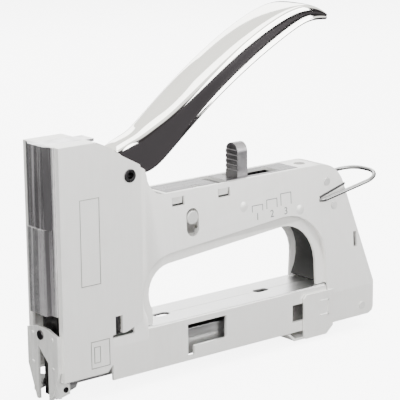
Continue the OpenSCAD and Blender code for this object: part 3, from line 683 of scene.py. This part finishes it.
class MakeRailStrip(StapleGunOperator, bpy.types.Operator):
    """Dark strip of painted shade along the rail's top, open at its slots"""
    bl_idname = "staple_gun.rail_strip"
    bl_label = "Rail top shade"

    def build(self):
        # Painted shade: dark patches laid over the rail's top.
        under, over = RAIL_TOP - 0.05 * MM, RAIL_TOP + 0.12 * MM
        bm = bmesh.new()
        for x0, x1, y0, y1 in RAIL_PATCHES:
            block(bm, (nose(x0), y0 * MM, under), (nose(x1), y1 * MM, over))
        piece = finish("rail_strip", bm, rail_shade_steel(), "body")
        round_edges(piece, 0.05 * MM)


# pressed outlines on the nose: middle behind its front, foot's height, width and height
NOSE_OUTLINES = [(14.2, 48.5, 9.6, 36), (18, 13.2, 9.4, 11.6), (16.4, 15.4, 3.2, 7)]
GROOVE_PLACE = (149.2, 66.9)             # middle of the painted shade groove above the wire: behind the nose, height


class MakePressedFrames(StapleGunOperator, bpy.types.Operator):
    """Plain outlines on the nose, dark grooves above the lock wire and dark plates behind the slots, both
    painted shade
    """
    bl_idname = "staple_gun.pressed_frames"
    bl_label = "Pressed outlines"

    def build(self):
        self.outlines()
        self.groove_shades()
        self.slot_shade_plates()

    def outlines(self):
        line = sizes().groove
        bm = bmesh.new()
        for side in (-1, 1):
            for x, z, width, height in NOSE_OUTLINES:
                frame_place = nose_frame(nose(x), z * MM, side)
                w, h = width / 2 * MM, height * MM
                for x0, x1, z0, z1 in ((-w, -w + line, 0, h), (w - line, w, 0, h),
                                       (-w, w, 0, line), (-w, w, h - line, h)):
                    verts = block(bm, (x0, z0, -0.1 * MM), (x1, z1, 0.05 * MM))
                    bmesh.ops.transform(bm, matrix=frame_place, verts=verts)
        finish("pressed_frames", bm, pressed_line(), "body")

    def groove_shades(self):
        # Painted shade: dark blocks stand in for the black line of shade along the lock wire.
        x, z = GROOVE_PLACE
        turn = Matrix.Rotation(radians(15.3), 4, "Z")
        bm = bmesh.new()
        for side in (-1, 1):
            place = side_frame(nose(x), z * MM, side) @ turn
            verts = block(bm, (-8.2 * MM, -0.6 * MM, -0.3 * MM), (8.2 * MM, 0.6 * MM, 0.08 * MM))
            bmesh.ops.transform(bm, matrix=place, verts=verts)
        piece = finish("wire_groove_shades", bm, dark_steel_and_shade(), "body")
        round_edges(piece, 0.25 * MM)

    def slot_shade_plates(self):
        # Painted shade: dark plates stand in for the black shade inside the windows.
        bm = bmesh.new()
        for side in (-1, 1):
            inner, outer = sorted((side * 10.2 * MM, side * 10.8 * MM))
            block(bm, (nose(25.6), inner, 25.4 * MM), (nose(29.6), outer, 33.6 * MM))
        piece = finish("window_shade_plates", bm, dark_steel_and_shade(), "body")
        round_edges(piece, 0.1 * MM)


class MakeInsert(StapleGunOperator, bpy.types.Operator):
    """Black insert behind the grip opening's lips"""
    bl_idname = "staple_gun.insert"
    bl_label = "Grip insert"

    def build(self):
        refined("grip_insert", black_plastic(), "body", 0.3 * MM)


class MakeHousing(StapleGunOperator, bpy.types.Operator):
    """Inner housing halves above the magazine"""
    bl_idname = "staple_gun.housing"
    bl_label = "Inner housing"

    def build(self):
        for node in ("left_inner", "right_inner"):
            refined(node, inner_steel(), "body", sizes().small_edge)


class MakeLockWire(StapleGunOperator, bpy.types.Operator):
    """Lock wire bent from one drawn rod"""
    bl_idname = "staple_gun.lock_wire"
    bl_label = "Lock wire"

    def build(self):
        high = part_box("lock_wire")[1]
        radius = sizes().wire_radius
        tilt = radians(12)
        flare = radians(4)
        small, bend = 2 * MM, 11 * MM
        reach = (high[0] - radius - WIRE_PIVOT.x) / cos(tilt)
        half = high[1] - radius
        inner = half - (reach - bend - small) * tan(flare)
        path = [(0, inner - small - 5 * MM), (0, inner - small - 1 * MM)]
        small_steps, bend_steps, turned = 6, 12, 0.955
        for i in range(small_steps + 1):
            a = radians(180) - (radians(90) + flare) * i / small_steps * turned
            path.append((small + small * cos(a), inner - small + small * sin(a)))
        for i in range(bend_steps + 1):
            a = (radians(90) + flare) * (1 - i / bend_steps)
            path.append((reach - bend + bend * cos(a), half - bend + bend * sin(a)))
        both = path + [(x, -y) for x, y in reversed(path)]
        turn = Matrix.Translation(WIRE_PIVOT) @ Matrix.Rotation(-tilt, 4, "Y")
        bm = bmesh.new()
        sweep(bm, [turn @ Vector((x, y, 0)) for x, y in both], radius)
        piece = finish("lock_wire_rod", bm, wire_steel(), "lock_wire", smooth=60)
        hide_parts("lock_wire")


class MakeMagazine(StapleGunOperator, bpy.types.Operator):
    """Magazine tray, staples and pusher"""
    bl_idname = "staple_gun.magazine"
    bl_label = "Magazine"

    def build(self):
        refined("staple_tray", inner_steel(), "magazine", sizes().small_edge)
        refined("pusher", inner_steel(), "pusher", sizes().small_edge)
        refined("staple_strip", guide_steel(), "magazine", sizes().small_edge)
        repaint("staple_core", dark_steel_and_shade())
        repaint("pusher_spring", dark_steel_and_shade())
        repaint("pusher_rod", inner_steel())
        repaint("latch_spring", dark_steel_and_shade())
        repaint("magazine_pin", dark_steel_and_shade())


class MakeLatch(StapleGunOperator, bpy.types.Operator):
    """Latch clip with a pressed bracket on each arm"""
    bl_idname = "staple_gun.latch"
    bl_label = "Latch clip"

    def build(self):
        refined("latch_clip", shell_steel(), "latch", sizes().shell_edge, 3)
        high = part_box("latch_clip")[1]
        bm = bmesh.new()
        line = 0.9 * MM
        x1 = high[0] - 2.6 * MM
        x0 = x1 - 5.2 * MM
        z0, z1 = 10.9 * MM, 18.5 * MM
        for side in (-1, 1):
            face = side * high[1]
            inner, outer = sorted((face - side * 0.2 * MM, face + side * 0.35 * MM))
            for a0, a1, b0, b1 in ((x0, x1, z1 - line, z1), (x0, x1, z0, z0 + line),
                                   (x1 - line, x1, z0, z1)):
                block(bm, (a0, inner, b0), (a1, outer, b1))
        piece = finish("latch_brackets", bm, shell_steel(), "latch")
        round_edges(piece, 0.12 * MM)


class MakeMechanism(StapleGunOperator, bpy.types.Operator):
    """Striker, springs and the pieces that hold them"""
    bl_idname = "staple_gun.mechanism"
    bl_label = "Mechanism"

    def build(self):
        for node in ("striker_guide", "striker", "driver_blade", "main_spring", "spring_seat",
                     "spring_rod", "lever_spring", "rear_block"):
            repaint(node, dark_steel_and_shade())
        repaint("striker_buffer", buffer_rubber())
        refined("rivets", guide_steel(), "body", 0.18 * MM, 3)


# lamps: name, place, what it aims at, width and height of its face, power
LAMPS = [
    ("Overhead", (0.05, 0.05, 0.95), (0.0, 0.0, 0.08), (1.1, 0.9), 14.0),
    ("Key", (-0.75, -0.85, 0.62), (0.0, 0.0, 0.07), (0.75, 0.55), 15.0),
    ("Side", (0.62, -0.95, 0.35), (0.0, 0.0, 0.06), (0.5, 0.6), 8.0),
    ("Rim", (0.55, 0.9, 0.55), (0.0, 0.0, 0.08), (0.7, 0.5), 5.0),
]
FLOOR_SIZE = 6                           # half width of the floor
FLOOR_ROUGH = 0.6
FLOOR_GLOW = 6.0                         # light of the floor as the camera sees it
FLOOR_IN_MIRROR = (0.03, 0.028, 0.031, 1.0)
WALL_FOOT = (0.03, 0.027, 0.03, 1.0)
WALL_TOP = (0.85, 0.85, 0.8, 1.0)
WALL_STEPS = [(0.14, 0.05), (0.27, 0.75)]  # height of the direction and light of the wall there
WALL_BLUE = 0.97                         # share of blue in the walls' light
MIRROR_GAIN = 1.6                        # how much brighter the walls are in reflections
WHITE = (1.0, 1.0, 1.0, 1.0)
AZIMUTH, ELEVATION, ROLL = -38.53, 13.37, 0.62   # the camera's angles in degrees
CAMERA_X, CAMERA_Y, CAMERA_Z = -373, -0.5696, 0.2445
SENSOR, LENS = 36, 157.3


class MakeStage(StapleGunOperator, bpy.types.Operator):
    """Pale floor, soft studio lights and the camera"""
    bl_idname = "staple_gun.stage"
    bl_label = "Stage"

    def build(self):
        self.floor()
        self.sky()
        for lamp in LAMPS:
            self.lamp(*lamp)
        self.camera()

    def floor(self):
        """Floor that glows for the camera and is dark in reflections."""
        bm = bmesh.new()
        bmesh.ops.create_grid(bm, x_segments=1, y_segments=1, size=FLOOR_SIZE)
        mesh = bpy.data.meshes.new("floor")
        bm.to_mesh(mesh)
        bm.free()
        material = bpy.data.materials.new("Pale floor")
        material.use_nodes = True
        tree = material.node_tree
        shader = tree.nodes["Principled BSDF"]
        shader.inputs["Roughness"].default_value = FLOOR_ROUGH
        shader.inputs["Specular IOR Level"].default_value = 0.0
        path = add_node(tree, "ShaderNodeLightPath")
        tone = add_node(tree, "ShaderNodeMix", [("data_type", "RGBA")],
                        [("A", (*colours().floor, 1.0)), ("B", FLOOR_IN_MIRROR)])
        tree.links.new(path.outputs["Is Glossy Ray"], tone.inputs["Factor"])
        tree.links.new(tone.outputs["Result"], shader.inputs["Base Color"])
        seen = add_node(tree, "ShaderNodeMath", [("operation", "MULTIPLY")])
        seen.inputs[1].default_value = FLOOR_GLOW
        tree.links.new(path.outputs["Is Camera Ray"], seen.inputs[0])
        shader.inputs["Emission Color"].default_value = WHITE
        tree.links.new(seen.outputs[0], shader.inputs["Emission Strength"])
        mesh.materials.append(material)
        floor = bpy.data.objects.new("floor", mesh)
        bpy.context.scene.collection.objects.link(floor)

    def sky(self):
        """White room for the camera; walls dark below and bright above for reflections."""
        world = bpy.data.worlds.new("Studio")
        world.use_nodes = True
        bpy.context.scene.world = world
        tree = world.node_tree
        back = tree.nodes["Background"]
        path = add_node(tree, "ShaderNodeLightPath")
        where = add_node(tree, "ShaderNodeTexCoord")
        split = add_node(tree, "ShaderNodeSeparateXYZ")
        tree.links.new(where.outputs["Generated"], split.inputs[0])
        walls = add_node(tree, "ShaderNodeValToRGB")
        ramp = walls.color_ramp
        ramp.elements[0].position, ramp.elements[0].color = 0.0, WALL_FOOT
        ramp.elements[1].position, ramp.elements[1].color = 1.0, WALL_TOP
        for height, level in WALL_STEPS:
            ramp.elements.new(height).color = (level, level, level * WALL_BLUE, 1.0)
        tree.links.new(split.outputs["Z"], walls.inputs["Fac"])
        tone = add_node(tree, "ShaderNodeMix", [("data_type", "RGBA")], [("B", WHITE)])
        tree.links.new(walls.outputs["Color"], tone.inputs["A"])
        tree.links.new(path.outputs["Is Camera Ray"], tone.inputs["Factor"])
        tree.links.new(tone.outputs["Result"], back.inputs["Color"])
        power = add_node(tree, "ShaderNodeMath", [("operation", "MULTIPLY_ADD")])
        power.inputs[1].default_value = MIRROR_GAIN
        power.inputs[2].default_value = 1.0
        tree.links.new(path.outputs["Is Glossy Ray"], power.inputs[0])
        tree.links.new(power.outputs[0], back.inputs["Strength"])

    def lamp(self, name, place, aim, size, power):
        light = bpy.data.lights.new(name, "AREA")
        light.shape = "RECTANGLE"
        light.size, light.size_y = size
        light.energy = power
        holder = bpy.data.objects.new(name, light)
        turn = (Vector(aim) - Vector(place)).to_track_quat("-Z", "Y")
        holder.matrix_world = Matrix.Translation(place) @ turn.to_matrix().to_4x4()
        bpy.context.scene.collection.objects.link(holder)

    def camera(self):
        azimuth, elevation, roll = radians(AZIMUTH), radians(ELEVATION), radians(ROLL)
        out = Vector((sin(azimuth) * cos(elevation), -cos(azimuth) * cos(elevation),
                      sin(elevation)))
        level = Vector((cos(azimuth), sin(azimuth), 0))
        rise = out.cross(level)
        across = level * cos(roll) - rise * sin(roll)
        up = rise * cos(roll) + level * sin(roll)
        matrix = Matrix((across, up, out)).transposed().to_4x4()
        matrix.translation = (nose(CAMERA_X), CAMERA_Y, CAMERA_Z)
        data = bpy.data.cameras.new("Camera")
        data.sensor_width = SENSOR
        data.lens = LENS
        camera = bpy.data.objects.new("Camera", data)
        camera.matrix_world = matrix
        bpy.context.scene.collection.objects.link(camera)
        bpy.context.scene.camera = camera


OPERATORS = [
    MakeShells, MakeCover, MakeGuide, MakeLever, MakePin, MakeAdjuster, MakeScale, MakeTabs,
    MakeRailStrip, MakePressedFrames, MakeInsert, MakeHousing, MakeLockWire, MakeMagazine,
    MakeLatch, MakeMechanism, MakeStage,
]


class StapleGunPanel(bpy.types.Panel):
    """Lists the pieces in the sidebar"""
    bl_idname = "VIEW3D_PT_staple_gun"
    bl_label = "Staple gun"
    bl_space_type = "VIEW_3D"
    bl_region_type = "UI"
    bl_category = "Staple gun"

    def draw(self, context):
        for settings in (context.scene.staple_gun_sizes, context.scene.staple_gun_colours):
            for name in settings.__annotations__:
                self.layout.prop(settings, name)
        for operator in OPERATORS:
            self.layout.operator(operator.bl_idname)


CLASSES = [StapleGunSizes, StapleGunColours, *OPERATORS, StapleGunPanel]


def register():
    for cls in CLASSES:
        bpy.utils.register_class(cls)
    bpy.types.Scene.staple_gun_sizes = PointerProperty(type=StapleGunSizes)
    bpy.types.Scene.staple_gun_colours = PointerProperty(type=StapleGunColours)


def unregister():
    del bpy.types.Scene.staple_gun_colours
    del bpy.types.Scene.staple_gun_sizes
    for cls in reversed(CLASSES):
        bpy.utils.unregister_class(cls)


def main():
    register()
    for operator in OPERATORS:
        getattr(bpy.ops.staple_gun, operator.bl_idname.split(".")[1])()


if __name__ == "__main__":
    main()
